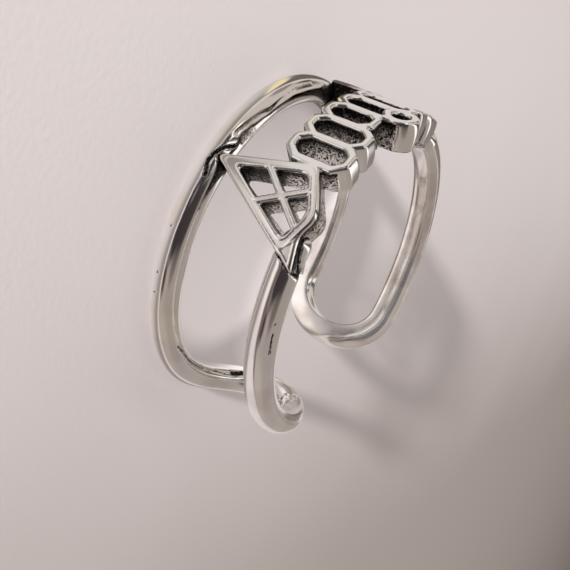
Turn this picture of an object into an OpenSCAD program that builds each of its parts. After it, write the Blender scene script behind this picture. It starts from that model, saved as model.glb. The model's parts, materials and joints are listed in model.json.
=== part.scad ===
// Adjustable open ring in silver: two parallel rails of wire joined by a bend at each
// end, with a gap between the ends, and an openwork frieze soldered between the rails.
// It lies on its side, on the lower rail, with the finger hole along Z.
// Angles are in degrees round the finger hole, counted from +X towards +Y. The frieze is
// centred near 90 and the gap at 270. Heights in the frieze are counted from mid width.

/* [Band] */
// Inside diameter across the flat inner faces of the rails
finger_d = 17.5; // [16:0.1:20]
// Diameter of the wire
wire_d = 1.76; // [1.6:0.02:2]
// Distance from the centre line of the wire to its flat inner face
wire_flat = 0.75; // [0.65:0.01:0.78]
// Distance between the centre lines of the two rails
rail_spacing = 6.46; // [6:0.02:7]

/* [Ends] */
// Angle from the middle of the gap to the centre line of each end
gap_half = 21; // [18:0.5:26]
// Angle that the left bend takes from its rails to its end
left_reach = 37; // [32:0.5:40]
// Squareness of the left bend, where 2 is an ellipse
left_power = 2.6; // [2:0.1:3]
// Angle by which the upper rail outruns the lower one on the left, halved
left_skew = 2.5; // [0:0.5:4]
// Angle that the right bend takes from its rails to its end
right_reach = 18.5; // [17:0.5:24]
// Squareness of the right bend
right_power = 2; // [2:0.1:3]
// Angle by which the lower rail outruns the upper one on the right, halved
right_skew = 1.2; // [0:0.1:3]

/* [Frieze] */
// Radial depth of the frieze
frieze_depth = 1.8; // [1.4:0.1:2]
// Width of the row's bars
bar_w = 0.5; // [0.4:0.02:0.7]
// Number of small cells in the row
small_cells = 6; // [5:1:6]
// Angle from one small cell to the next
cell_pitch = 9.4; // [9:0.1:9.6]
// Angle of the first bar of the row
row_start = 112.4; // [112:0.1:113]
// Height of the row's lower ends
row_low = 0.2; // [0:0.05:0.5]
// Height of the row's upper ends
row_high = 4.05; // [3.9:0.05:4.2]
// Height of a small cell's sloping corners
corner_h = 0.45; // [0.3:0.05:0.6]
// Width of the bars round the trellis
trellis_bar_w = 0.6; // [0.5:0.02:0.7]
// Width of the lattice bars inside the trellis
lattice_w = 0.44; // [0.4:0.02:0.6]
// Height of the trellis's lower tip, in the lower rail
trellis_low = -2.9; // [-3:0.05:-2.7]
// Height of the tall cell's lower end, in the lower rail
tall_low = -2.9; // [-3:0.05:-2.7]
// Outside diameter of the eyelet at the end of the fourth cell
eyelet_d = 2.3; // [2:0.05:2.5]
// Diameter of the eyelet's hole
eyelet_hole_d = 1.05; // [0.8:0.05:1.2]
// Height of the eyelet's centre
eyelet_z = 3.9; // [3.6:0.05:4]

/* [Hidden] */
wire_r = wire_d / 2;
ring_r = finger_d / 2 + wire_flat;
half_spacing = rail_spacing / 2;
// The frieze stands a little proud of the rails, and its inner face lies just outside theirs
frieze_proud = 0.22;
frieze_out_r = ring_r + wire_r + frieze_proud;
frieze_in_r = frieze_out_r - frieze_depth;
frieze_h = 2 * (eyelet_z + eyelet_d);
// Share of a cell's width that its flat end takes, and how far the third cell's upper end
// is set back
flat_share = 0.56;
end_drops = [0, 0, 0.55, 0, 0, 0];
// Corners of the trellis, as angles and heights. The left one lies on the upper rail's end
trellis_at = 127;
trellis_corners = [[121.5, trellis_low], [141, 3.1], [127, 4.1], [row_start, 2.6]];
// Cell that stands at the end of the row
tall_width = 12;
tall_start = row_start - small_cells * cell_pitch;
tall_end = tall_start - tall_width;
tall_mid = (tall_start + tall_end) / 2;
tall_corner_h = 1;
eyelet_at = 78.5;
// Angles at which the rails stop. The upper one runs this far into the frieze at each end
into_trellis = 9;
into_tall_cell = 2;
left_mid = 270 - gap_half - left_reach;
right_mid = gap_half + right_reach - 90;
lower_rail_ends = [right_mid + right_skew, left_mid - left_skew];
upper_left_ends = [trellis_corners[1][0] - into_trellis, left_mid + left_skew];
upper_right_ends = [right_mid - right_skew, tall_end + into_tall_cell];
// The bends are swept with this many sides and steps, run this far into the rails' ends,
// and are a hair thinner than the rails, so that they start inside them
bend_sides = 16;
bend_steps = 30;
bend_inset = 2.2;
bend_scale = 0.985;
// The middle of the ring's box is over the origin, and the lower rail stands on Z = 0
far_y = frieze_out_r;
near_y = ring_r * cos(gap_half) + wire_r * bend_scale;
centre_y = (near_y - far_y) / 2;
$fn = 96;

// Flat polygon drawn inward by w: each side moves in along its normal
function cross2(a, b) = a[0] * b[1] - a[1] * b[0];
function inward(a, b) = let (d = b - a) [-d[1], d[0]] / norm(d);
function crossing(p, d, q, e) = p + d * cross2(q - p, e) / cross2(d, e);
function inset(pts, w) = let (n = len(pts)) [
    for (i = [0:n - 1])
        let (a = pts[(i + n - 1) % n], b = pts[i], c = pts[(i + 1) % n])
        crossing(b + w * inward(a, b), b - a, b + w * inward(b, c), c - b)
];

// Centre line of a bend that bulges towards growing angles. t runs from 0 at the lower rail
// to 180 at the upper one
function on_ring(angle, z) = [ring_r * cos(angle), ring_r * sin(angle), z];
function bend_at(t, mid, reach, power, skew) = let (
    w = -sign(cos(t)) * pow(abs(cos(t)), 2 / power),
    out = pow(abs(sin(t)), 2 / power)
) on_ring(mid + skew * w + reach * out, half_spacing * w);
function bend_path(mid, reach, power, skew) = [
    on_ring(mid - skew - bend_inset, -half_spacing),
    for (i = [0:bend_steps]) bend_at(180 * i / bend_steps, mid, reach, power, skew),
    on_ring(mid + skew - bend_inset, half_spacing)
];

// Section of the wire for the bends: a circle whose inner side is cut flat
function wire_point(i) = let (a = 360 * i / bend_sides)
    bend_scale * [max(wire_r * cos(a), -wire_flat), wire_r * sin(a)];
function unit(v) = v / norm(v);
function ring_of_points(path, k) = let (
    n = len(path),
    along = unit(path[min(k + 1, n - 1)] - path[max(k - 1, 0)]),
    radial = unit([path[k][0], path[k][1], 0]),
    out = unit(radial - along * (radial * along)),
    across = cross(along, out)
) [for (i = [0:bend_sides - 1]) let (q = wire_point(i)) path[k] + q[0] * out + q[1] * across];

module swept_wire(path) {
    n = len(path);
    m = bend_sides;
    sides = [
        for (k = [0:n - 2], i = [0:m - 1])
            [k * m + i, (k + 1) * m + i, (k + 1) * m + (i + 1) % m, k * m + (i + 1) % m]
    ];
    first = [for (i = [0:m - 1]) i];
    last = [for (i = [m - 1:-1:0]) (n - 1) * m + i];
    polyhedron([for (k = [0:n - 1]) each ring_of_points(path, k)], concat(sides, [first, last]));
}

// Wire section beside the axis, with the flat side towards the finger
module wire_section() {
    intersection() {
        circle(r = wire_r);
        translate([-wire_flat, -wire_r]) square([wire_flat + wire_r, wire_d]);
    }
}

module rail(ends, height) {
    translate([0, 0, height])
        rotate([0, 0, ends[0]])
            rotate_extrude(angle = ends[1] - ends[0])
                translate([ring_r, 0]) wire_section();
}

// The whole rail, which the ring rests on
module lower_rail() {
    color("silver") rail(lower_rail_ends, -half_spacing);
}

// The other rail, cut short on both sides of the frieze
module upper_rail() {
    color("silver") {
        rail(upper_left_ends, half_spacing);
        rail(upper_right_ends, half_spacing);
    }
}

module end_bends() {
    color("silver") {
        swept_wire(bend_path(left_mid, left_reach, left_power, left_skew));
        mirror([0, 1, 0]) swept_wire(bend_path(-right_mid, right_reach, right_power, right_skew));
    }
}

// Flat shape drawn in the plane that touches the ring at an angle, pushed through the frieze
module radial_plate(angle) {
    rotate([0, 0, angle])
        translate([frieze_in_r - frieze_depth, 0, 0])
            rotate([90, 0, 90])
                linear_extrude(3 * frieze_depth) children();
}

// Upright bar between two heights
module upright(angle, low, high) {
    radial_plate(angle) translate([-bar_w / 2, low]) square([bar_w, high - low]);
}

// End of a cell: a flat bar between two sloping ones, which stop inside the uprights on
// both sides. tip is the height of its outer face, and side is 1 on top and -1 below
module cell_end(angle, pitch, tip, corner, side) {
    half = frieze_out_r * sin(pitch / 2);
    flat_x = flat_share * half;
    slope = atan2(corner, half - flat_x);
    end_x = half + bar_w / 4;
    end_z = (end_x - flat_x) * tan(slope);
    in_x = flat_x - bar_w * tan(slope / 2);
    in_z = end_z + bar_w / cos(slope);
    radial_plate(angle) translate([0, tip]) scale([1, -side]) polygon([
        [-end_x, end_z], [-flat_x, 0], [flat_x, 0], [end_x, end_z],
        [end_x, in_z], [in_x, bar_w], [-in_x, bar_w], [-end_x, in_z]
    ]);
}

function middle(a, b) = (a + b) / 2;

// Four-sided frame with two lattice bars, which join the middles of its opposite sides
module trellis() {
    outline = [
        for (c = trellis_corners) [frieze_out_r * sin(c[0] - trellis_at), c[1]]
    ];
    radial_plate(trellis_at) {
        difference() {
            polygon(outline);
            polygon(inset(outline, trellis_bar_w));
        }
        intersection() {
            polygon(inset(outline, trellis_bar_w / 2));
            for (i = [0, 1]) let (
                a = middle(outline[i], outline[i + 1]),
                b = middle(outline[i + 2], outline[(i + 3) % 4]),
                reach = norm(b - a)
            ) translate(middle(a, b)) rotate(atan2(b[1] - a[1], b[0] - a[0]))
                square([reach, lattice_w], center = true);
        }
    }
}

module small_row() {
    for (i = [0:small_cells])
        upright(row_start - i * cell_pitch, row_low + corner_h + bar_w / 2,
            row_high - corner_h - bar_w / 2);
    for (i = [0:small_cells - 1], side = [-1, 1])
        cell_end(row_start - (i + 0.5) * cell_pitch, cell_pitch,
            side > 0 ? row_high - end_drops[i] : row_low, corner_h, side);
}

module tall_cell() {
    foot = tall_low + tall_corner_h;
    for (angle = [tall_start, tall_end])
        upright(angle, foot, row_high - corner_h - bar_w / 2);
    cell_end(tall_mid, tall_width, tall_low, tall_corner_h, -1);
    cell_end(tall_mid, tall_width, row_high, corner_h, 1);
}

module frieze() {
    color("darkgray") intersection() {
        difference() {
            cylinder(r = frieze_out_r, h = frieze_h, center = true);
            cylinder(r = frieze_in_r, h = frieze_h + 1, center = true);
        }
        difference() {
            union() {
                trellis();
                small_row();
                tall_cell();
                radial_plate(eyelet_at) translate([0, eyelet_z]) circle(d = eyelet_d);
            }
            radial_plate(eyelet_at) translate([0, eyelet_z]) circle(d = eyelet_hole_d);
        }
    }
}

module open_ring() {
    translate([0, centre_y, wire_r + half_spacing]) {
        lower_rail();
        upper_rail();
        end_bends();
        frieze();
    }
}

open_ring();
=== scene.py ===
"""Looks for an adjustable open ring in cast silver, which lies on its side on a pale surface."""

import json
import math

import bmesh
import bpy
import numpy as np
from mathutils import Matrix, Vector


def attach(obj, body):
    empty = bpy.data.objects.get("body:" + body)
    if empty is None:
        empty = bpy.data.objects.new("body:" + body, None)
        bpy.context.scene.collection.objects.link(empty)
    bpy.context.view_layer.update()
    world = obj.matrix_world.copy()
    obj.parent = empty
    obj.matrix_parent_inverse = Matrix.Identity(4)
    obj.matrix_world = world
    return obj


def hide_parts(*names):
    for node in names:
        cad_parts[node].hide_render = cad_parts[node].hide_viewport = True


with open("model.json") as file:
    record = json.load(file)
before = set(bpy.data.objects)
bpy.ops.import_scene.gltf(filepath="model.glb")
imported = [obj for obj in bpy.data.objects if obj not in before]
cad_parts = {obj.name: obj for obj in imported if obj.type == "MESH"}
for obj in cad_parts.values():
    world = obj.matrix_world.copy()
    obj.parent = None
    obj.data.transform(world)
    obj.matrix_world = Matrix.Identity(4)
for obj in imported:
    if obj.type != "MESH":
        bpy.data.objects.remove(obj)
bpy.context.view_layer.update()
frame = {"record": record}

# Lengths below are in millimetres. Angles are in degrees round the finger hole, counted
# from +X towards +Y, and heights count from the ring's mid width.
MM = 0.001
hole = frame["record"]["mounts"][0]
finger_r = hole["dims"]["r_mm"]

# Wire and its path
WIRE_R = 0.88
WIRE_FLAT = 0.75
RAIL_SPACING = 6.46
ring_r = finger_r + WIRE_FLAT
half_spacing = RAIL_SPACING / 2
centre = Vector((hole["pos_m"][0], hole["pos_m"][1], (half_spacing + WIRE_R) * MM))
GAP_HALF = 21
LEFT_REACH, LEFT_POWER, LEFT_SKEW = 37, 2.6, 2.5
RIGHT_REACH, RIGHT_POWER, RIGHT_SKEW = 18.5, 2, 1.2
left_mid = 270 - GAP_HALF - LEFT_REACH
right_mid = GAP_HALF + RIGHT_REACH - 90
# Length from one ring of the wire's mesh to the next, and its sides
WIRE_STEP = 0.085
WIRE_SIDES = 56
# Steps of the path in degrees, along the rails and through a bend
RAIL_STEP, BEND_STEP = 0.25, 1.5
# Where the upper rail stops on both sides of the frieze, how long its rounded ends are, and
# the share of that length at which they begin, so that the tips aren't points
UPPER_LEFT_END, UPPER_RIGHT_END = 130.5, 45.2
END_ROUND = 1.0
END_TIP = 0.02
# How rounded the corners of the wire's flat side are
FLAT_ROUND = 0.25
# Height and size of the low waves that polishing left in the wire
POLISH_WAVE = 0.055
WAVE_SIZE = 3.2

# Frieze
FRIEZE_DEPTH = 1.8
FRIEZE_PROUD = 0.22
BAR_W = 0.5
SMALL_CELLS = 6
CELL_PITCH = 9.4
ROW_START = 112.4
ROW_LOW, ROW_HIGH = 0.2, 4.05
CORNER_H = 0.45
FLAT_SHARE = 0.56
END_DROPS = (0, 0, 0.55, 0, 0, 0)
TRELLIS_BAR_W = 0.6
LATTICE_W = 0.44
TRELLIS_CORNERS = ((121.5, -2.9), (141, 3.1), (127, 4.1), (ROW_START, 2.6))
# Foot that the trellis's left corner spreads over the upper rail
FOOT_CORNERS = ((139.4, 2.75), (133.5, 3.63), (144.1, 4.02))
TALL_WIDTH = 12
TALL_LOW = -2.9
TALL_CORNER_H = 1
EYELET_AT, EYELET_Z = 78.5, 3.9
EYELET_R = 1.07
EYELET_HOLE_R = 0.525
frieze_out_r = ring_r + WIRE_R + FRIEZE_PROUD
frieze_in_r = frieze_out_r - FRIEZE_DEPTH
# How a bar's face falls away towards its edge: distance from the edge, drop of the trellis's
# bars, which are dished, and of the cells' bars, which are round
RIM = (
    (0.0, 0.17, 0.17),
    (0.02, 0.09, 0.105),
    (0.05, 0.05, 0.066),
    (0.095, 0.017, 0.034),
    (0.15, 0.0, 0.012),
    (0.22, 0.022, 0.0),
)
# How rounded the frieze's own corners, the trellis's outer ones and its solder joints are
CORNER = 0.11
TIP_CORNER = 0.5
SOLDER = 0.2
# Steps of the frieze's mesh across a small cell
CELL_STEPS = 26


def arc(angle):
    """Length along the frieze's outer face from the first upright, growing as the angle falls."""
    return math.radians(ROW_START - angle) * frieze_out_r


def turn(length):
    """Angle of a length along the frieze's outer face."""
    return ROW_START - np.degrees(length / frieze_out_r)


pitch_w = arc(ROW_START - CELL_PITCH)
tall_u = arc(ROW_START - SMALL_CELLS * CELL_PITCH - TALL_WIDTH / 2)
tall_half = tall_u - SMALL_CELLS * pitch_w
trellis_corners = [np.array((arc(angle), height)) for angle, height in TRELLIS_CORNERS]
foot_corners = [np.array((arc(angle), height)) for angle, height in FOOT_CORNERS]


def soft_max(a, b, width):
    """The larger of two fields, rounded over where they are within a width of each other."""
    overlap = np.maximum(width - np.abs(a - b), 0)
    return np.maximum(a, b) + overlap * overlap / (4 * width)


def soft_min(a, b, width):
    return -soft_max(-a, -b, width)


def smooth_step(low, high, x):
    t = np.clip((x - low) / (high - low), 0, 1)
    return t * t * (3 - 2 * t)


# Each field below gives how deep a point of the frieze's face lies inside the metal


def cell_field(u, z, middle, half, low, high, low_corner):
    """Eight-sided cell with flat ends."""
    across = np.abs(u - middle)
    run = (1 - FLAT_SHARE) * half

    def end(height, corner):
        sloping = height * run - corner * (across - FLAT_SHARE * half)
        return soft_min(height, sloping / math.hypot(run, corner), CORNER)

    ends = np.minimum(end(high - z, CORNER_H), end(z - low, low_corner))
    outside = np.minimum(ends, half + BAR_W / 2 - across)
    window = soft_max(BAR_W - ends, across - half + BAR_W / 2, CORNER)
    return np.minimum(outside, window)


def row_field(u, z):
    """Small cells side by side, with a bar between each two."""
    cell = np.clip(np.floor(u / pitch_w), 0, SMALL_CELLS - 1).astype(int)
    high = ROW_HIGH - np.array(END_DROPS)[cell]
    cells = cell_field(u, z, (cell + 0.5) * pitch_w, pitch_w / 2, ROW_LOW, high, CORNER_H)
    bar = np.clip(np.round(u / pitch_w), 0, SMALL_CELLS)
    inset = CORNER_H + BAR_W / 2
    upright = np.minimum(ROW_HIGH - inset - z, z - ROW_LOW - inset)
    upright = soft_min(upright, BAR_W / 2 - np.abs(u - bar * pitch_w), CORNER)
    return np.maximum(cells, upright)


def beside_line(u, z, a, b):
    """Distance to the left of the line from a to b."""
    along = (b - a) / np.linalg.norm(b - a)
    return along[0] * (z - a[1]) - along[1] * (u - a[0])


def trellis_field(u, z):
    """Four-sided frame with two lattice bars, which join the middles of its opposite sides."""
    corners = trellis_corners[::-1]
    ends = [(corners[i - 1], corners[i]) for i in range(4)]
    middles = [(a + b) / 2 for a, b in ends]
    sides = [beside_line(u, z, a, b) for a, b in ends]
    between_first = soft_min(sides[0], sides[2], TIP_CORNER)
    between_second = soft_min(sides[1], sides[3], TIP_CORNER)
    outside = soft_min(between_first, between_second, TIP_CORNER)
    window = TRELLIS_BAR_W - outside
    for i in (0, 1):
        bar = LATTICE_W / 2 - np.abs(beside_line(u, z, middles[i], middles[i + 2]))
        window = soft_max(window, bar, CORNER)
    foot = [beside_line(u, z, foot_corners[i - 1], foot_corners[i]) for i in range(3)]
    foot = soft_min(soft_min(foot[0], foot[1], CORNER), foot[2], CORNER)
    return soft_max(np.minimum(outside, window), foot, SOLDER)


def frieze_field(u, z):
    """The whole frieze, with solder rounding off its joints and a hole in its eyelet."""
    tall = cell_field(u, z, tall_u, tall_half, TALL_LOW, ROW_HIGH, TALL_CORNER_H)
    from_eyelet = np.hypot(u - arc(EYELET_AT), z - EYELET_Z)
    joined = np.maximum(row_field(u, z), tall)
    joined = soft_max(joined, trellis_field(u, z), SOLDER)
    joined = soft_max(joined, EYELET_R - from_eyelet, SOLDER)
    return np.minimum(joined, from_eyelet - EYELET_HOLE_R)


def object_from(name, points, faces, **fields):
    """Mesh object from points in millimetres round the ring's centre, with a value per point."""
    mesh = bpy.data.meshes.new(name)
    mesh.from_pydata([Vector(p) * MM + centre for p in points], [], faces)
    for field, values in fields.items():
        mesh.attributes.new(field, "FLOAT", "POINT").data.foreach_set("value", values)
    mesh.polygons.foreach_set("use_smooth", [True] * len(mesh.polygons))
    obj = bpy.data.objects.new(name, mesh)
    bpy.context.scene.collection.objects.link(obj)
    return obj


# A corner of the face's mesh that is this near a step of the rim is taken to lie on it
SNAP = 0.003


def cut(points, depths, triangles, level):
    """Splits the triangles that cross a depth, so that a line of corners runs along it."""
    depths = [level if abs(d - level) < SNAP else d for d in depths]
    made = {}

    def crossing(i, j):
        key = (min(i, j), max(i, j))
        if key not in made:
            share = (level - depths[i]) / (depths[j] - depths[i])
            points.append(tuple(a + share * (b - a) for a, b in zip(points[i], points[j])))
            depths.append(level)
            made[key] = len(points) - 1
        return made[key]

    result = []
    for triangle in triangles:
        values = [depths[i] - level for i in triangle]
        if min(values) >= 0 or max(values) <= 0:
            result.append(triangle)
            continue
        above, below = [], []
        for k in range(3):
            i, j = triangle[k], triangle[(k + 1) % 3]
            if depths[i] >= level:
                above.append(i)
            if depths[i] <= level:
                below.append(i)
            if (depths[i] - level) * (depths[j] - level) < 0:
                middle = crossing(i, j)
                above.append(middle)
                below.append(middle)
        for part in (above, below):
            result += [(part[0], part[k], part[k + 1]) for k in range(1, len(part) - 1)]
    return points, depths, result


def face_of_frieze(u_from, u_to):
    """Flat face of the frieze between two arc lengths, with corners along each step of the rim."""
    step = pitch_w / CELL_STEPS
    u = np.arange(round(u_from / step), round(u_to / step) + 1) * step
    top = EYELET_Z + EYELET_R + step
    z = top - np.arange(math.ceil((top - TALL_LOW) / step) + 2) * step
    grid_u, grid_z = np.meshgrid(u, z, indexing="ij")
    depth = frieze_field(grid_u, grid_z)
    points = list(zip(grid_u.ravel().tolist(), grid_z.ravel().tolist()))
    depths = depth.ravel().tolist()
    rows = len(z)
    triangles = []
    for i in range(len(u) - 1):
        for j in range(rows - 1):
            if depth[i:i + 2, j:j + 2].max() <= 0:
                continue
            a, b, c, d = i * rows + j, (i + 1) * rows + j, (i + 1) * rows + j + 1, i * rows + j + 1
            if (i + j) % 2:
                triangles += [(a, b, c), (a, c, d)]
            else:
                triangles += [(a, b, d), (b, c, d)]
    for level, _, _ in RIM:
        points, depths, triangles = cut(points, depths, triangles, level)
        if level == 0:
            triangles = [t for t in triangles if max(depths[i] for i in t) > 0]
    return points, depths, triangles


# Walls that face up are polished: share of their outward direction that points up, and their
# depth below the top of the row, where the polish begins and where it is whole
POLISH_SLOPES = (0.1, 0.45)
POLISH_DEPTHS = (0.53, 0.4)
# Room that such a wall has above it, as a share of a bar's width
POLISH_ROOM = 0.4
# Step over which the field's slope is measured
SLOPE_STEP = 0.02


def wall_finish(u, z):
    """Outward direction of the frieze's wall at its edge, and how polished it is there: the
    outer walls at the upper ends are, and the others are left as cast."""
    out_u = frieze_field(u - SLOPE_STEP, z) - frieze_field(u + SLOPE_STEP, z)
    out_z = frieze_field(u, z - SLOPE_STEP) - frieze_field(u, z + SLOPE_STEP)
    length = np.maximum(np.hypot(out_u, out_z), 1e-9)
    out_u, out_z = out_u / length, out_z / length
    open_above = frieze_field(u, z + BAR_W) < -POLISH_ROOM * BAR_W
    begins, whole = (ROW_HIGH - depth for depth in POLISH_DEPTHS)
    polish = smooth_step(*POLISH_SLOPES, out_z) * smooth_step(begins, whole, z)
    return out_u, out_z, np.where(open_above & (u > -BAR_W), polish, 0.0)


# Rings of corners down a wall: depth below its edge, oxide and painted shade at the frieze's lower
# and upper heights, and share of the bulge of the polished ends. The black band just below the
# edge is painted shade; deeper down the values are the walls' own oxide
WALL = (
    (0.07, 1.0, 0.95, 0.25),
    (0.3, 0.95, 0.72, 0.7),
    (0.6, 0.85, 0.48, 1.0),
    (1.0, 0.78, 0.42, 1.0),
    (1.5, 0.74, 0.42, 0.25),
)
BULGE = 0.075
# Oxide of a wall's edge, of a polished wall and of the back, and that of the outer face at the
# last three steps of the rim
EDGE_OXIDE = 0.3
POLISHED_OXIDE = 0.06
BACK_OXIDE = 0.62
FACE_OXIDE = (0.0, 0.05, 0.1)
# Heights between which the walls' oxide wears off, how much less it does in the later cells,
# and the cells between which that sets in
WORN_HEIGHTS = (-0.3, 2.0)
WORN_LESS = 0.45
WORN_CELLS = (0.8, 2.2)


def plate(u_from, u_to, name):
    """Pierced metal of the frieze between two arc lengths."""
    points, depths, triangles = face_of_frieze(u_from, u_to)
    used = sorted({i for t in triangles for i in t})
    number = {old: new for new, old in enumerate(used)}
    flat = np.array([points[i] for i in used])
    depth = np.array([depths[i] for i in used])
    triangles = [tuple(number[i] for i in t) for t in triangles]
    levels, dished, rounded = zip(*RIM)
    angles = np.radians(turn(flat[:, 0]))
    outward = np.stack([np.cos(angles), np.sin(angles)], 1)

    def ring_points(radius, which=slice(None)):
        return np.column_stack([outward[which] * np.asarray(radius)[..., None], flat[which, 1]])

    count = len(flat)
    round_share = smooth_step(-BAR_W / 2, BAR_W / 2, flat[:, 0])
    dished_fall = np.interp(depth, levels, dished)
    round_fall = np.interp(depth, levels, rounded)
    front = ring_points(frieze_out_r - dished_fall * (1 - round_share) - round_fall * round_share)
    back_chamfer = np.interp(depth, (0, levels[2]), (levels[2], 0))
    back = ring_points(frieze_in_r + back_chamfer)
    all_points = [front, back]
    all_oxide = [np.interp(depth, levels[3:], FACE_OXIDE), np.full(count, BACK_OXIDE)]
    faces = list(triangles) + [tuple(i + count for i in reversed(t)) for t in triangles]
    sides = {}
    for a, b, c in triangles:
        for edge in ((a, b), (b, c), (c, a)):
            if edge[::-1] in sides:
                del sides[edge[::-1]]
            else:
                sides[edge] = True
    edge_list = [e for e in sides if depth[e[0]] <= 0 and depth[e[1]] <= 0]
    rim = sorted({i for e in edge_list for i in e})
    place = {i: k for k, i in enumerate(rim)}
    rim_u, rim_z = flat[rim, 0], flat[rim, 1]
    out_u, out_z, polish = wall_finish(rim_u, rim_z)
    later = smooth_step(*WORN_CELLS, rim_u / pitch_w)
    worn = smooth_step(*WORN_HEIGHTS, rim_z) * (1 - WORN_LESS * later)
    rings = [rim]
    start = 2 * count
    for below, low_oxide, high_oxide, share in WALL:
        bulge = BULGE * share * polish
        around = np.radians(turn(rim_u + out_u * bulge))
        radius = frieze_out_r - dished[0] - below
        height = rim_z + out_z * bulge
        all_points.append(np.stack([radius * np.cos(around), radius * np.sin(around), height], 1))
        # The wall's oxide, with the painted shade band just below its edge
        cast = low_oxide + (high_oxide - low_oxide) * worn
        all_oxide.append(cast + (POLISHED_OXIDE - cast) * polish)
        rings.append(range(start, start + len(rim)))
        start += len(rim)
    rings.append([i + count for i in rim])
    for upper, lower in zip(rings, rings[1:]):
        for a, b in edge_list:
            faces.append((upper[place[b]], upper[place[a]], lower[place[a]], lower[place[b]]))
    oxide = np.concatenate(all_oxide)
    oxide[rim] = EDGE_OXIDE * (1 - polish)
    return object_from(name, np.concatenate(all_points), faces, oxide=oxide.astype(np.float32))


class Tree:
    """A node tree being built, with short calls that add nodes and join them."""

    def __init__(self, nodes, links):
        self.nodes = nodes
        self.links = links

    def add(self, kind, settings=(), **inputs):
        node = self.nodes.new(kind)
        for key, value in dict(settings).items():
            setattr(node, key, value)
        for name, value in inputs.items():
            self.put(node, name.replace("_", " "), value)
        return node

    def put(self, node, name, value):
        socket = node.inputs[int(name)] if name.isdigit() else node.inputs[name]
        if isinstance(value, bpy.types.NodeSocket):
            self.links.new(value, socket)
        elif isinstance(value, bpy.types.Node):
            self.links.new(value.outputs[0], socket)
        else:
            socket.default_value = value

    def math(self, operation, *values, clamp=False):
        node = self.add("ShaderNodeMath", {"operation": operation, "use_clamp": clamp})
        for k, value in enumerate(values):
            self.put(node, str(k), value)
        return node.outputs[0]


def geometry_tree(name, inputs):
    """Geometry Nodes tree with named inputs: label, socket kind and default."""
    group = bpy.data.node_groups.new(name, "GeometryNodeTree")
    group.interface.new_socket("Geometry", in_out="INPUT", socket_type="NodeSocketGeometry")
    group.interface.new_socket("Geometry", in_out="OUTPUT", socket_type="NodeSocketGeometry")
    for label, kind, value in inputs:
        socket = group.interface.new_socket(label, in_out="INPUT", socket_type="NodeSocket" + kind)
        if value is not None:
            socket.default_value = value
    return group, Tree(group.nodes, group.links)


def end_tree(tree, geometry, material):
    real = tree.add("GeometryNodeRealizeInstances", Geometry=geometry)
    painted = tree.add("GeometryNodeSetMaterial", Geometry=real, Material=material)
    tree.add("NodeGroupOutput", Geometry=painted)


def evaluated(obj, group, values):
    """Plain mesh object in the place of one whose shape a tree gives."""
    modifier = obj.modifiers.new(group.name, "NODES")
    modifier.node_group = group
    for socket in group.interface.items_tree:
        if socket.name in values:
            modifier[socket.identifier] = values[socket.name]
    graph = bpy.context.evaluated_depsgraph_get()
    mesh = bpy.data.meshes.new_from_object(obj.evaluated_get(graph))
    obj.modifiers.clear()
    old = obj.data
    obj.data = mesh
    bpy.data.meshes.remove(old)
    return obj


def wire_tree():
    """Sweeps the wire's section, a circle cut flat towards the finger, along the path."""
    group, tree = geometry_tree("drawn_wire", (
        ("Wire Radius", "Float", 0.001),
        ("Flat Distance", "Float", 0.001),
        ("Flat Round", "Float", 0.0001),
        ("Sides", "Int", 24),
        ("Polish Wave", "Float", 0.0),
        ("Wave Size", "Float", 0.001),
        ("Metal", "Material", None),
    ))
    given = tree.add("NodeGroupInput").outputs
    outward = tree.add("GeometryNodeInputNamedAttribute", {"data_type": "FLOAT_VECTOR"}, Name="outward")
    thickness = tree.add("GeometryNodeInputNamedAttribute", {"data_type": "FLOAT"}, Name="thickness")
    path = tree.add("GeometryNodeMeshToCurve", Mesh=given["Geometry"])
    path = tree.add("GeometryNodeSetCurveNormal", {"mode": "FREE"}, Curve=path, Normal=outward)
    radius = given["Wire Radius"]
    circle = tree.add("GeometryNodeCurvePrimitiveCircle", Resolution=given["Sides"], Radius=radius)
    place = tree.add("ShaderNodeSeparateXYZ", Vector=tree.add("GeometryNodeInputPosition"))
    inner = tree.math("MULTIPLY", given["Flat Distance"], -1.0)
    section_x = tree.math("SMOOTH_MAX", place.outputs["X"], inner, given["Flat Round"])
    section = tree.add("ShaderNodeCombineXYZ", X=section_x, Y=place.outputs["Y"])
    section = tree.add("GeometryNodeSetPosition", Geometry=circle, Position=section)
    swept = tree.add("GeometryNodeCurveToMesh", Curve=path, Scale=thickness, Fill_Caps=True)
    tree.put(swept, "Profile Curve", section)
    frequency = tree.math("DIVIDE", 1.0, given["Wave Size"])
    noise = tree.add("ShaderNodeTexNoise", Scale=frequency, Detail=2.0, Roughness=0.35)
    depth = tree.math("MULTIPLY", noise.outputs[0], tree.math("MULTIPLY", given["Polish Wave"], -1.0))
    normal = tree.add("GeometryNodeInputNormal")
    offset = tree.add("ShaderNodeVectorMath", {"operation": "SCALE"}, Vector=normal, Scale=depth)
    waved = tree.add("GeometryNodeSetPosition", Geometry=swept, Offset=offset)
    smooth = tree.add("GeometryNodeSetShadeSmooth", Geometry=waved)
    end_tree(tree, smooth, given["Metal"])
    return group


def on_ring(angle, z, radius=None):
    radius = ring_r if radius is None else radius
    return Vector((radius * math.cos(math.radians(angle)), radius * math.sin(math.radians(angle)), z))


def bend_at(t, middle, reach, power, skew):
    """Point of a bend: t runs from 0 at the lower rail to 180 at the upper one."""
    sine, cosine = math.sin(math.radians(t)), math.cos(math.radians(t))
    w = -math.copysign(abs(cosine) ** (2 / power), cosine)
    return on_ring(middle + skew * w + reach * abs(sine) ** (2 / power), half_spacing * w)


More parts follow.
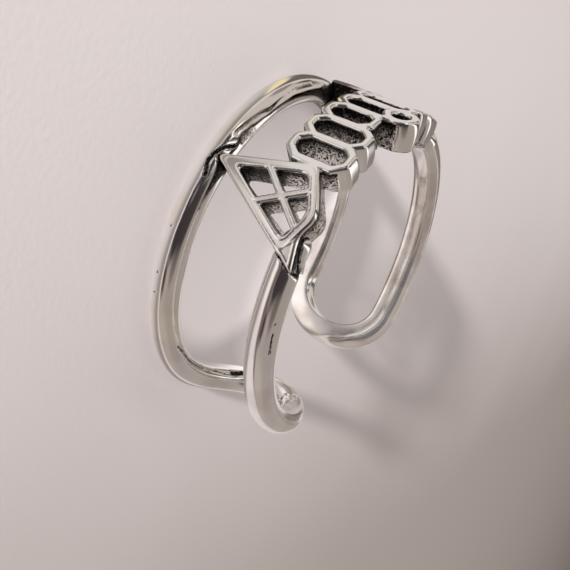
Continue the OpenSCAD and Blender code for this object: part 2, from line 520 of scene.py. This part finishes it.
def wire_path():
    """Centre line of the wire from the upper rail's left end to its right end, with its thickness."""
    bend = np.linspace(0, 180, round(180 / BEND_STEP) + 1)
    points = []
    upper = np.arange(UPPER_LEFT_END, left_mid + LEFT_SKEW, RAIL_STEP)
    points += [on_ring(angle, half_spacing) for angle in upper]
    points += [bend_at(t, left_mid, LEFT_REACH, LEFT_POWER, LEFT_SKEW) for t in bend[::-1]]
    lower = np.arange(left_mid - LEFT_SKEW, right_mid + RIGHT_SKEW, -RAIL_STEP)
    points += [on_ring(angle, -half_spacing) for angle in lower[1:]]
    right = [bend_at(t, -right_mid, RIGHT_REACH, RIGHT_POWER, RIGHT_SKEW) for t in bend]
    points += [Vector((p.x, -p.y, p.z)) for p in right]
    upper = np.arange(right_mid - RIGHT_SKEW, UPPER_RIGHT_END, RAIL_STEP)
    points += [on_ring(angle, half_spacing) for angle in upper[1:]]
    line = np.array(points)
    lengths = np.concatenate([[0], np.cumsum(np.linalg.norm(np.diff(line, axis=0), axis=1))])
    even = np.linspace(0, lengths[-1], round(lengths[-1] / WIRE_STEP) + 1)
    line = np.stack([np.interp(even, lengths, line[:, k]) for k in range(3)], 1)
    from_end = np.minimum(even, even[-1] - even) / END_ROUND
    thickness = np.sqrt(1 - (1 - np.clip(from_end, END_TIP, 1)) ** 2)
    return line, thickness


def build_wire(metal):
    line, thickness = wire_path()
    radial = line * (1, 1, 0)
    radial /= np.linalg.norm(radial, axis=1)[:, None]
    along = np.gradient(line, axis=0)
    along /= np.linalg.norm(along, axis=1)[:, None]
    outward = radial - along * (radial * along).sum(1)[:, None]
    outward /= np.linalg.norm(outward, axis=1)[:, None]
    mesh = bpy.data.meshes.new("wire_band")
    edges = [(i, i + 1) for i in range(len(line) - 1)]
    mesh.from_pydata([Vector(p) * MM + centre for p in line], edges, [])
    mesh.attributes.new("outward", "FLOAT_VECTOR", "POINT").data.foreach_set("vector", outward.ravel())
    mesh.attributes.new("thickness", "FLOAT", "POINT").data.foreach_set("value", thickness)
    band = bpy.data.objects.new("wire_band", mesh)
    bpy.context.scene.collection.objects.link(band)
    return evaluated(band, wire_tree(), {
        "Wire Radius": WIRE_R * MM,
        "Flat Distance": WIRE_FLAT * MM,
        "Flat Round": FLAT_ROUND * MM,
        "Sides": WIRE_SIDES,
        "Polish Wave": POLISH_WAVE * MM,
        "Wave Size": WAVE_SIZE * MM,
        "Metal": metal,
    })


# Scars of the rails: half width, depth and oxide, then the places that each runs through, as
# ring angle, height and radius. An oxide of 1 or more is black right through
SCARS = (
    # Pits
    (0.10, 0.03, 1.1, (160.1, 3.97, 9.98)),
    (0.11, 0.03, 1.1, (161.2, -3.41, 10.36)),
    (0.09, 0.03, 1.0, (168.0, -3.38, 10.37)),
    (0.10, 0.03, 1.0, (146.2, -3.40, 10.36)),
    # Scratch on the upper rail
    (0.07, 0.02, 1.05, (163.2, 3.97, 9.95), (165.7, 3.98, 9.94), (170.8, 3.99, 9.92)),
    # Crease on the window side of the lower rail's left end
    (0.11, 0.05, 0.75, (191.8, -2.37, 9.58), (197.7, -2.38, 9.33), (205.6, -2.41, 9.21),
     (216.5, -2.48, 9.04), (229.0, -2.30, 8.95), (236.7, -1.79, 9.04)),
    # Dark patch at the crease's end
    (0.26, 0.05, 0.95, (237.8, -1.79, 8.92), (242.0, -1.45, 8.86)),
    # Dents in the left bend
    (0.17, 0.14, 0.75, (241.5, 1.66, 9.07)),
    (0.15, 0.13, 0.3, (243.2, 1.78, 8.79)),
    (0.14, 0.13, 0.8, (239.4, 2.40, 8.77)),
    (0.14, 0.12, 0.6, (245.8, 2.31, 8.77)),
    (0.13, 0.12, 0.3, (242.4, 2.35, 8.75)),
    (0.12, 0.11, 0.3, (240.6, 2.05, 8.80)),
    # Ridge and rough patch of the lower rail beside the frieze
    (0.15, 0.05, 0.33, (112.5, -2.75, 10.2), (105.1, -2.59, 10.07), (100.9, -2.51, 9.98),
     (96.8, -2.42, 9.82), (90.7, -2.47, 9.92), (81.7, -2.59, 10.08), (71.5, -2.60, 10.09)),
    (0.4, 0.03, 0.42, (111.5, -2.45, 9.75), (107.7, -2.43, 9.63)),
    (0.6, 0.03, 0.7, (61.2, -2.42, 9.63), (56.4, -2.37, 9.45)),
    # Seam round the trellis's foot
    (0.15, 0.03, 1.1, (128.7, -2.86, 10.29), (124.4, -3.13, 10.36), (121.2, -3.05, 10.33),
     (118.3, -2.78, 10.23), (115.9, -2.49, 9.94)),
)

# A scar is whole and has faded at these shares of its half width
SCAR_WHOLE, SCAR_FADED = 0.35, 1.2
# Seam between the wire and the frieze: angles that hold the frieze, distances from it between
# which the black fades and between which the seam's depth does, and that depth
FRIEZE_FROM, FRIEZE_TO = 30, 160
SEAM_BLACK = (0.06, 0.22)
SEAM_DENT = (0.03, 0.25)
SEAM_DEPTH = 0.06
# The wire is less polished away from the frieze, between these angles from its middle
FRIEZE_MIDDLE = 98
SATIN_ANGLES = (58, 95)
LEFT_SATIN, RIGHT_SATIN = 0.4, 1.0
# Painted shade inside the lower rail behind the frieze: its amount, the distances inside the
# middle of the wire's flat side between which it sets in, and the angles where it ends
INSIDE_SHADE = 0.6
INSIDE_REACH = 0.55
INSIDE_FADE = (0.1, 0.4)
INSIDE_ANGLES = (58, 72)


def from_scar(place, path):
    """Distance from each point to a scar's path."""
    path = [np.array(on_ring(angle, height, radius)) for angle, height, radius in path]
    nearest = np.linalg.norm(place - path[0], axis=1)
    for a, b in zip(path, path[1:]):
        share = np.clip((place - a) @ (b - a) / ((b - a) @ (b - a)), 0, 1)
        nearest = np.minimum(nearest, np.linalg.norm(place - a - share[:, None] * (b - a), axis=1))
    return nearest


def dress_wire(band):
    """Blackens the wire round the frieze's feet, paints shade inside the lower rail behind it, scars the
    wire and dulls its far parts.
    """
    mesh = band.data
    count = len(mesh.vertices)
    place = np.empty(count * 3)
    mesh.vertices.foreach_get("co", place)
    place = (place.reshape(-1, 3) - centre) / MM
    normal = np.empty(count * 3)
    mesh.vertices.foreach_get("normal", normal)
    normal = normal.reshape(-1, 3)
    radius = np.hypot(place[:, 0], place[:, 1])
    angle = np.degrees(np.arctan2(place[:, 1], place[:, 0])) % 360
    beside = frieze_field(arc(0) - np.radians(angle) * frieze_out_r, place[:, 2])
    near_frieze = (angle > FRIEZE_FROM) & (angle < FRIEZE_TO) & (radius > ring_r - WIRE_FLAT)
    oxide = np.where(near_frieze, 1 - smooth_step(*SEAM_BLACK, -beside), 0)
    dent = np.where(near_frieze, SEAM_DEPTH * (1 - smooth_step(*SEAM_DENT, -beside)), 0)
    for half_width, depth, black, *path in SCARS:
        off = from_scar(place, path) / half_width
        near = 1 - smooth_step(SCAR_WHOLE, SCAR_FADED, off)
        oxide = np.maximum(oxide, near * black)
        dent = np.maximum(dent, near * depth)
    place -= normal * dent[:, None]
    mesh.vertices.foreach_set("co", (place * MM + np.array(centre)).ravel())
    from_frieze = (angle - FRIEZE_MIDDLE + 180) % 360 - 180
    satin = smooth_step(*SATIN_ANGLES, np.abs(from_frieze))
    satin *= np.where(from_frieze > 0, LEFT_SATIN, RIGHT_SATIN)
    inside = smooth_step(*INSIDE_FADE, finger_r + INSIDE_REACH - radius)
    inside *= 1 - smooth_step(*INSIDE_ANGLES, np.abs(from_frieze))
    # Painted shade inside the lower rail behind the frieze, added to the oxide
    oxide = np.maximum(oxide, INSIDE_SHADE * inside * (place[:, 2] < 0))
    for field, values in (("oxide", oxide), ("satin", satin)):
        mesh.attributes.new(field, "FLOAT", "POINT").data.foreach_set("value", values.astype(np.float32))
    mesh.update()
    return band


def turn_outwards(obj):
    """Turns the faces of a closed mesh outwards."""
    work = bmesh.new()
    work.from_mesh(obj.data)
    bmesh.ops.recalc_face_normals(work, faces=work.faces)
    work.to_mesh(obj.data)
    work.free()
    return obj


def build_frieze(metal):
    frieze = plate(foot_corners[2][0] - BAR_W, tall_u + tall_half + BAR_W, "openwork_frieze")
    frieze.data.materials.append(metal)
    return turn_outwards(frieze)


def material_tree(name):
    material = bpy.data.materials.new(name)
    material.use_nodes = True
    material.node_tree.nodes.clear()
    return material, Tree(material.node_tree.nodes, material.node_tree.links)


def blend_colour(tree, share, first, second):
    node = tree.add("ShaderNodeMix", {"data_type": "RGBA"})
    tree.put(node, "0", share)
    for socket, value in ((node.inputs[6], first), (node.inputs[7], second)):
        if isinstance(value, bpy.types.NodeSocket):
            tree.links.new(value, socket)
        else:
            socket.default_value = (*value, 1)
    return node.outputs[2]


def blend_value(tree, share, first, second):
    node = tree.add("ShaderNodeMix", {"data_type": "FLOAT"})
    for key, value in (("0", share), ("2", first), ("3", second)):
        tree.put(node, key, value)
    return node.outputs[0]


def ramp(tree, value, low, high, to_low=0.0, to_high=1.0):
    node = tree.add("ShaderNodeMapRange", {"interpolation_type": "SMOOTHSTEP"}, Value=value)
    for name, number in (("From Min", low), ("From Max", high), ("To Min", to_low), ("To Max", to_high)):
        tree.put(node, name, number)
    return node.outputs[0]


SILVER = (0.93, 0.915, 0.89)
WARM_SILVER = (0.86, 0.80, 0.70)
STAIN = (0.50, 0.415, 0.36)
OXIDE = (0.018, 0.016, 0.016)
WORN_OXIDE = (0.42, 0.39, 0.37)
# Noises that warm, stain and cloud the metal: scale per metre and the values between which
# each sets in. The most that a place takes of the warm tint and, where it is satin, of stains
WARM_SCALE, WARM_NOISE = 260, (0.5, 0.72)
STAIN_SCALE, STAIN_NOISE = 420, (0.4, 0.66)
CLOUD_SCALE, CLOUD_NOISE = 700, (0.35, 0.75)
MOST_WARM, MOST_STAINED = 0.55, 0.6
# Roughness of the clearest and the most clouded polish, what satin adds to it, and that of
# the oxide. Satin metal is a little less of a metal too
CLEAR, CLOUDED = 0.07, 0.2
SATIN_ROUGHNESS = 0.03
OXIDE_ROUGHNESS = 0.42
SATIN_DULLNESS = 0.04
# Oxide between which smooth patches turn to cast grain, how much a patch and a fold of the
# grain add to it, and the sum between which the metal turns black
CAST_OXIDE = (0.25, 0.42)
PATCH_OXIDE, FOLD_OXIDE = 0.5, 5.0
BLACK_FROM, BLACK_TO = 0.3, 0.6
# Grain noise above which the black is worn to grey
WORN_GRAIN = (0.58, 0.7)
# Cast grain: half width of its folds, in the noise, how much higher they and its lumps make
# it, depth in millimetres, and the oxide between which it sets in
FOLD_WIDTH = 0.07
FOLD_HEIGHT, LUMP_HEIGHT = 3.0, 0.5
LUMPS_PER_GRAIN = 0.7
GRAIN_DEPTH = 0.05
GRAIN_OXIDE = (0.2, 0.6)


def silver(name, grain_mm, cast_bump):
    """Polished silver that turns black and rough where the value of oxide and painted shade is high."""
    material, tree = material_tree(name)
    where = tree.add("ShaderNodeTexCoord").outputs["Object"]
    oxide = tree.add("ShaderNodeAttribute", {"attribute_name": "oxide"}).outputs["Fac"]
    satin = tree.add("ShaderNodeAttribute", {"attribute_name": "satin"}).outputs["Fac"]
    per_grain = 1 / (grain_mm * MM)

    def noise(scale, detail, roughness):
        node = tree.add("ShaderNodeTexNoise", Vector=where, Scale=scale, Detail=detail)
        tree.put(node, "Roughness", roughness)
        return node.outputs[0]

    grain = noise(per_grain, 3.0, 0.6)
    even = tree.math("SUBTRACT", grain, 0.5)
    folds = tree.math("SUBTRACT", tree.math("ABSOLUTE", even), FOLD_WIDTH)
    in_patches = tree.math("MULTIPLY", even, PATCH_OXIDE)
    in_folds = tree.math("MULTIPLY", folds, FOLD_OXIDE)
    uneven = blend_value(tree, ramp(tree, oxide, *CAST_OXIDE), in_patches, in_folds)
    black = ramp(tree, tree.math("ADD", oxide, uneven), BLACK_FROM, BLACK_TO)

    warm = ramp(tree, noise(WARM_SCALE, 2.0, 0.5), *WARM_NOISE, 0.0, MOST_WARM)
    bright = blend_colour(tree, warm, SILVER, WARM_SILVER)
    stains = ramp(tree, noise(STAIN_SCALE, 3.0, 0.45), *STAIN_NOISE, 0.0, MOST_STAINED)
    bright = blend_colour(tree, tree.math("MULTIPLY", satin, stains), bright, STAIN)
    worn = tree.math("MULTIPLY", ramp(tree, grain, *WORN_GRAIN), black)
    dark = blend_colour(tree, worn, OXIDE, WORN_OXIDE)
    colour = blend_colour(tree, black, bright, dark)

    polish = ramp(tree, noise(CLOUD_SCALE, 4.0, 0.65), *CLOUD_NOISE, CLEAR, CLOUDED)
    polish = tree.math("ADD", polish, tree.math("MULTIPLY", satin, SATIN_ROUGHNESS))
    rough = blend_value(tree, black, polish, OXIDE_ROUGHNESS)
    metallic = tree.math("SUBTRACT", 1.0, tree.math("MULTIPLY", satin, SATIN_DULLNESS))

    lumps = tree.add("ShaderNodeTexVoronoi", {"feature": "SMOOTH_F1"}, Vector=where)
    tree.put(lumps, "Scale", LUMPS_PER_GRAIN * per_grain)
    lumps = tree.math("MULTIPLY", lumps.outputs["Distance"], LUMP_HEIGHT)
    height = tree.math("SUBTRACT", tree.math("MULTIPLY", folds, -FOLD_HEIGHT), lumps)
    cast = tree.math("MULTIPLY", height, ramp(tree, oxide, *GRAIN_OXIDE))
    bump = tree.add("ShaderNodeBump", Strength=cast_bump, Distance=GRAIN_DEPTH * MM, Height=cast)

    shader = tree.add("ShaderNodeBsdfPrincipled", Metallic=metallic, Base_Color=colour, Roughness=rough)
    tree.put(shader, "Normal", bump)
    tree.add("ShaderNodeOutputMaterial", Surface=shader)
    return material


def direction(azimuth, elevation):
    a, e = math.radians(azimuth), math.radians(elevation)
    return Vector((math.cos(e) * math.cos(a), math.cos(e) * math.sin(a), math.sin(e)))


# Painted light falloff: tones of the surface beside the ring, painted lit, and far behind it, painted
# in shade, and the azimuth and the two distances in millimetres between which it darkens
NEAR_LIT_TONE = (0.677, 0.625, 0.622)
FAR_SHADED_TONE = (0.37, 0.322, 0.302)
TONE_AZIMUTH, TONE_FAR, TONE_NEAR = 59, -51, 22
# Painted pool of light inside the ring, standing for light that the inner faces throw back: how much
# of the tone it takes, and the radius of its even middle and of its faded edge in millimetres
GLOW_TONE, GLOW_STRENGTH = (0.93, 0.86, 0.85), 0.9
GLOW_INNER, GLOW_OUTER = 7.2, 9.4
# Painted glint of that light in the metal: the surface emits it to reflections only, though it is no
# lamp. Colour, strength, place in plan and radii
PAINTED_GLINT_COLOUR, PAINTED_GLINT_STRENGTH = (1.0, 0.96, 0.94), 0.42
PAINTED_GLINT_AT, PAINTED_GLINT_INNER, PAINTED_GLINT_OUTER = (2.5, -6), 2.5, 7
# What the metal mirrors of it is painted apart from what the camera sees: pale paper with a painted
# glare towards the window, painted duller outside the frieze and painted lit again beyond that,
# ending in painted dark towards the camera
GLARE_TONE = (0.86, 0.82, 0.81)
GLARE_AZIMUTH, GLARE_FROM, GLARE_TO = 125, 12, 18
DULL_TONE = (0.53, 0.505, 0.485)
DULL_AZIMUTH, DULL_FROM, DULL_TO = 58, 3.5, 8
LIT_TONE = (0.68, 0.65, 0.645)
LIT_FROM, LIT_TO = 10, 15
DARK_REFLECTION_TONE = (0.13, 0.10, 0.095)
DARK_REFLECTION_AZIMUTH, DARK_REFLECTION_FROM, DARK_REFLECTION_TO = 152, 21, 36
# Shade round the ring: distances from its axis between which it deepens and fades
ROUND_TONE, ROUND_STRENGTH = (0.20, 0.17, 0.15), 0.8
ROUND_FROM, ROUND_DEEP, ROUND_FADES, ROUND_TO = 10.0, 12.2, 14.0, 17.5
# Painted shade beside the frieze's right end and a painted gold reflection in front of its middle, both
# seen only in the metal
SHADE_TONE, SHADE_STRENGTH = (0.11, 0.092, 0.08), 0.95
SHADE_AT, SHADE_INNER, SHADE_OUTER = (8, 11), 3.7, 6
GOLD_REFLECTION_TONE, GOLD_REFLECTION_STRENGTH = (0.85, 0.71, 0.43), 1.0
GOLD_REFLECTION_AT, GOLD_REFLECTION_INNER, GOLD_REFLECTION_OUTER = (2.4, 11.2), 0.9, 2
# How far the borders of these tones waver, in millimetres, and the noise that they follow
WAVER, WAVER_SCALE = 12, 30.0
# Fibres of the paper: scale of their noise, bump and its depth in millimetres
FIBRE_SCALE, FIBRE_BUMP, FIBRE_DEPTH = 2500.0, 0.15, 0.05
PAPER_ROUGHNESS = 0.7


def surface_material():
    """Pale paper with painted light: to the camera a painted falloff away from the light and a painted
    pool of light inside the ring, and to the metal painted glare, shade and reflections.
    """
    material, tree = material_tree("pale_surface")
    where = tree.add("ShaderNodeTexCoord").outputs["Object"]
    clouds = tree.add("ShaderNodeTexNoise", Vector=where, Scale=WAVER_SCALE, Detail=3.0)
    waver = tree.math("MULTIPLY", tree.math("SUBTRACT", clouds.outputs[0], 0.5), WAVER * MM)

    def reach(azimuth, low, high):
        towards = tree.add("ShaderNodeVectorMath", {"operation": "DOT_PRODUCT"})
        tree.put(towards, "0", where)
        towards.inputs[1].default_value = direction(azimuth, 0)
        return ramp(tree, tree.math("ADD", towards.outputs["Value"], waver), low * MM, high * MM)

    def patch(middle, inner, outer, strength):
        off = tree.add("ShaderNodeVectorMath", {"operation": "DISTANCE"})
        tree.put(off, "0", where)
        off.inputs[1].default_value = (middle[0] * MM, middle[1] * MM, 0)
        return ramp(tree, off.outputs["Value"], inner * MM, outer * MM, strength, 0.0)

    axis = (0, 0)
    # Painted light falloff: the surface's colour darkens away from the light
    seen = blend_colour(tree, reach(TONE_AZIMUTH, TONE_FAR, TONE_NEAR), FAR_SHADED_TONE, NEAR_LIT_TONE)
    # Painted pool of light inside the ring
    painted_glow = patch(axis, GLOW_INNER, GLOW_OUTER, GLOW_STRENGTH)
    seen = blend_colour(tree, painted_glow, seen, GLOW_TONE)

    within = patch(axis, ROUND_FADES, ROUND_TO, ROUND_STRENGTH)
    inside = patch(axis, ROUND_FROM, ROUND_DEEP, ROUND_STRENGTH)
    # Painted reflections: colours that only the metal's glossy rays see on the surface
    painted_reflection = NEAR_LIT_TONE
    for share, tone in (
        (reach(GLARE_AZIMUTH, GLARE_FROM, GLARE_TO), GLARE_TONE),
        (reach(DULL_AZIMUTH, DULL_FROM, DULL_TO), DULL_TONE),
        (reach(DULL_AZIMUTH, LIT_FROM, LIT_TO), LIT_TONE),
        (reach(DARK_REFLECTION_AZIMUTH, DARK_REFLECTION_FROM, DARK_REFLECTION_TO), DARK_REFLECTION_TONE),
        (tree.math("SUBTRACT", within, inside), ROUND_TONE),
        # Painted shade and painted gold reflection, seen only in the metal
        (patch(SHADE_AT, SHADE_INNER, SHADE_OUTER, SHADE_STRENGTH), SHADE_TONE),
        (patch(GOLD_REFLECTION_AT, GOLD_REFLECTION_INNER, GOLD_REFLECTION_OUTER, GOLD_REFLECTION_STRENGTH), GOLD_REFLECTION_TONE),
    ):
        painted_reflection = blend_colour(tree, share, painted_reflection, tone)

    # The metal's reflections get the painted reflection colours, the camera the painted tones
    glossy = tree.add("ShaderNodeLightPath").outputs["Is Glossy Ray"]
    colour = blend_colour(tree, glossy, seen, painted_reflection)
    fibre = tree.add("ShaderNodeTexNoise", Vector=where, Scale=FIBRE_SCALE, Detail=3.0)
    bump = tree.add("ShaderNodeBump", Strength=FIBRE_BUMP, Distance=FIBRE_DEPTH * MM)
    tree.put(bump, "Height", fibre)
    shader = tree.add("ShaderNodeBsdfPrincipled", Base_Color=colour, Roughness=PAPER_ROUGHNESS)
    tree.put(shader, "Normal", bump)
    # Painted glint: the surface glows here, but only in the metal's reflections
    painted_glint = patch(PAINTED_GLINT_AT, PAINTED_GLINT_INNER, PAINTED_GLINT_OUTER, PAINTED_GLINT_STRENGTH)
    tree.put(shader, "Emission Color", (*PAINTED_GLINT_COLOUR, 1.0))
    tree.put(shader, "Emission Strength", tree.math("MULTIPLY", painted_glint, glossy))
    tree.add("ShaderNodeOutputMaterial", Surface=shader)
    return material


# Half the surface's side, in metres
FLOOR_HALF = 3.0


def build_floor():
    mesh = bpy.data.meshes.new("floor")
    sides = (-FLOOR_HALF, FLOOR_HALF)
    corners = [(sides[i], sides[j], 0) for i, j in ((0, 0), (1, 0), (1, 1), (0, 1))]
    mesh.from_pydata(corners, [], [(0, 1, 2, 3)])
    floor = bpy.data.objects.new("floor", mesh)
    bpy.context.scene.collection.objects.link(floor)
    mesh.materials.append(surface_material())


# Camera: the photo's angle to the ring, as azimuth and elevation of the place that it looks
# from, its roll, its distance from the ring's centre in millimetres, and its lens in pixels
CAMERA_AZIMUTH, CAMERA_ELEVATION, CAMERA_ROLL = 137.44, 22.72, 115.06
CAMERA_DISTANCE = 56.78
PICTURE = 570
LENS_PX = 925.8
SHIFT_PX = (-20.98, -29.94)
# Farthest distance that the camera sees, in metres
FAR_CLIP = 10


def build_camera():
    back = direction(CAMERA_AZIMUTH, CAMERA_ELEVATION)
    level = (-back).cross(Vector((0, 0, 1))).normalized()
    upright = level.cross(-back)
    roll = math.radians(CAMERA_ROLL)
    right = math.cos(roll) * level + math.sin(roll) * upright
    up = math.cos(roll) * upright - math.sin(roll) * level
    data = bpy.data.cameras.new("camera")
    camera = bpy.data.objects.new("camera", data)
    bpy.context.scene.collection.objects.link(camera)
    turned = Matrix((right, up, back)).transposed()
    camera.matrix_world = Matrix.Translation(centre + back * CAMERA_DISTANCE * MM) @ turned.to_4x4()
    data.lens = LENS_PX / PICTURE * data.sensor_width
    data.shift_x = SHIFT_PX[0] / PICTURE
    data.shift_y = SHIFT_PX[1] / PICTURE
    data.clip_start = MM
    data.clip_end = FAR_CLIP
    bpy.context.scene.camera = camera


# Soft shapes of the studio that the polished wire reflects, each painted over the ones
# before it: azimuth, elevation, radius of the even middle, radius of the faded edge, colour
STUDIO = (
    (250, 55, 30, 70, (0.35, 0.305, 0.28)),
    (237, 6, 16, 36, (0.43, 0.375, 0.33)),
    # Arch of a pale window, its dark frame and the lit room inside it
    (32, -5, 76, 82, (1.25, 1.22, 1.18)),
    (32, -5, 65, 71, (0.06, 0.055, 0.055)),
    (32, -5, 52, 60, (0.56, 0.50, 0.46)),
    (326, 15, 6, 22, (0.24, 0.205, 0.18)),
    # Dark clothes and the camera
    (178, 52, 12, 26, (0.17, 0.14, 0.125)),
    (146, 52, 16, 28, (0.05, 0.042, 0.042)),
    (148, 20, 22, 34, (0.045, 0.036, 0.04)),
    (112, 20, 14, 22, (0.045, 0.042, 0.042)),
    (188, 3, 6, 20, (0.075, 0.033, 0.028)),
    (133, 18, 3, 9, (0.20, 0.185, 0.185)),
    # Bright spots, a grey one and a dark one
    (114, -3, 3, 8, (2.4, 2.35, 2.3)),
    (81, 25, 4, 9, (1.6, 1.55, 1.5)),
    (37, 6, 7, 14, (0.26, 0.225, 0.20)),
    (12, 12, 6, 14, (0.07, 0.055, 0.045)),
)
ROOM = (0.42, 0.38, 0.35)
BACKDROP = (0.62, 0.575, 0.555)


def build_world():
    """Room that the metal reflects. The camera itself sees a plain backdrop."""
    world = bpy.data.worlds.new("studio")
    bpy.context.scene.world = world
    world.use_nodes = True
    world.node_tree.nodes.clear()
    tree = Tree(world.node_tree.nodes, world.node_tree.links)
    where = tree.add("ShaderNodeTexCoord").outputs["Generated"]
    colour = None
    for azimuth, elevation, inner, outer, tone in STUDIO:
        aim = tree.add("ShaderNodeVectorMath", {"operation": "DOT_PRODUCT"})
        tree.put(aim, "0", where)
        aim.inputs[1].default_value = direction(azimuth, elevation)
        off = tree.math("ARCCOSINE", aim.outputs["Value"])
        share = ramp(tree, off, math.radians(inner), math.radians(outer), 1.0, 0.0)
        colour = blend_colour(tree, share, ROOM if colour is None else colour, tone)
    seen = tree.add("ShaderNodeLightPath").outputs["Is Camera Ray"]
    colour = blend_colour(tree, seen, colour, BACKDROP)
    light = tree.add("ShaderNodeBackground", Color=colour, Strength=1.0)
    tree.add("ShaderNodeOutputWorld", Surface=light)


# Lamps: name, place round the ring's centre as azimuth, elevation and distance, width, watts,
# colour and whether it casts a shadow. The metal doesn't show them, but the room instead
LAMPS = (
    ("wide_light", 137, 48, 900, 800, 4.8, (0.98, 1.0, 1.03), False),
    ("low_light", 130, 6.5, 1500, 90, 70.0, (1.0, 0.99, 0.98), True),
)


def build_lamps():
    for name, azimuth, elevation, distance, width, watts, colour, shadow in LAMPS:
        data = bpy.data.lights.new(name, "AREA")
        data.shape = "DISK"
        data.size = width * MM
        data.energy = watts
        data.color = colour
        lamp = bpy.data.objects.new(name, data)
        lamp.location = centre + direction(azimuth, elevation) * distance * MM
        lamp.rotation_mode = "QUATERNION"
        lamp.rotation_quaternion = direction(azimuth, elevation).to_track_quat("Z", "Y")
        data.use_shadow = shadow
        lamp.visible_glossy = False
        lamp.visible_camera = False
        bpy.context.scene.collection.objects.link(lamp)


build_camera()
build_world()
build_lamps()
build_floor()
bpy.context.scene.view_settings.view_transform = "Standard"

wire_silver = silver("wire_silver", grain_mm=0.16, cast_bump=0.6)
cast_silver = silver("cast_silver", grain_mm=0.24, cast_bump=1.0)
wire_band = dress_wire(turn_outwards(build_wire(wire_silver)))
openwork_frieze = build_frieze(cast_silver)

for piece in (wire_band, openwork_frieze):
    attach(piece, "root")
    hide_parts("open_ring")
